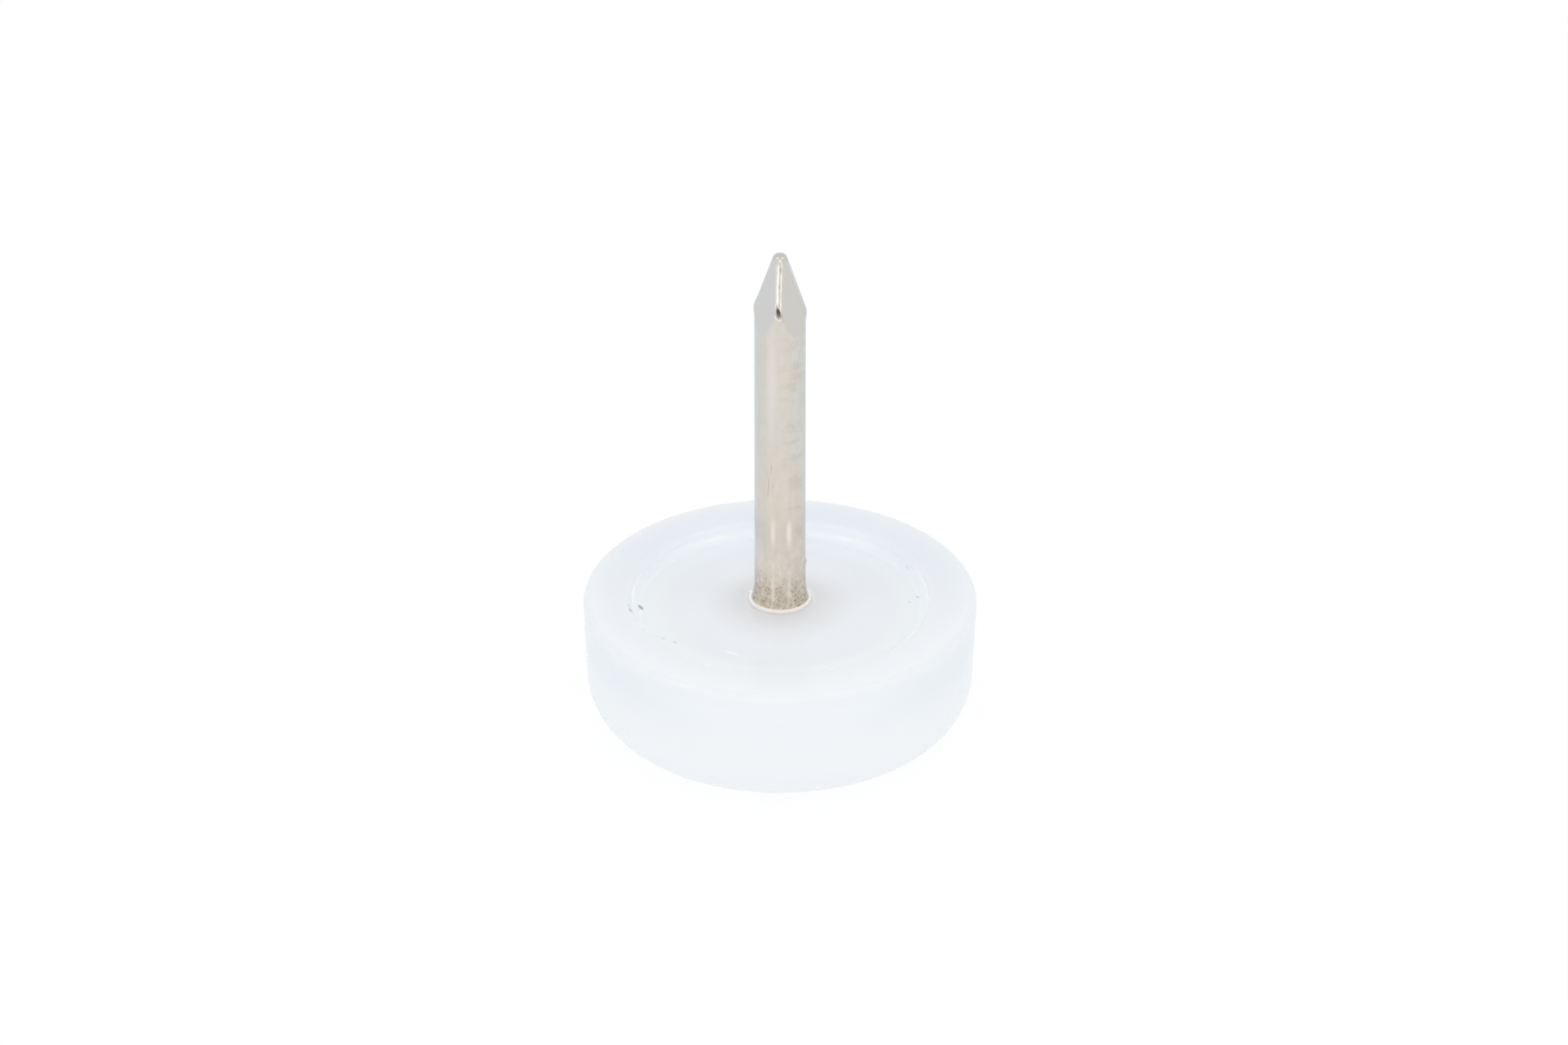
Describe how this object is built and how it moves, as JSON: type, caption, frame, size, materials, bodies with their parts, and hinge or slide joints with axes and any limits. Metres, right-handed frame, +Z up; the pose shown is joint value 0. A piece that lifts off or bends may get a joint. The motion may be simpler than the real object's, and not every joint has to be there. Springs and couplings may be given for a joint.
{
  "type": "nail-on furniture glide",
  "caption": "Round white plastic furniture glide with a recessed top face and a plated steel nail moulded into its centre, driven into the end of a furniture leg.",
  "frame": {"origin": "centre of the flat glide face, the lowest point of the part", "axes": "+Z up the nail from the glide face to the point; X and Y run through the ridges of the diamond point"},
  "size_m": [0.024, 0.024, 0.0321],
  "materials": {
    "pad_plastic": "moulded, glossy, slightly translucent cool white",
    "nail_nickel": "nickel-plated steel wire, fine drawing lines, light brown tarnish towards the foot"
  },
  "bodies": {
    "root": {"glide_pad": "pad_plastic", "nail": "nail_nickel"}
  },
  "joints": []
}
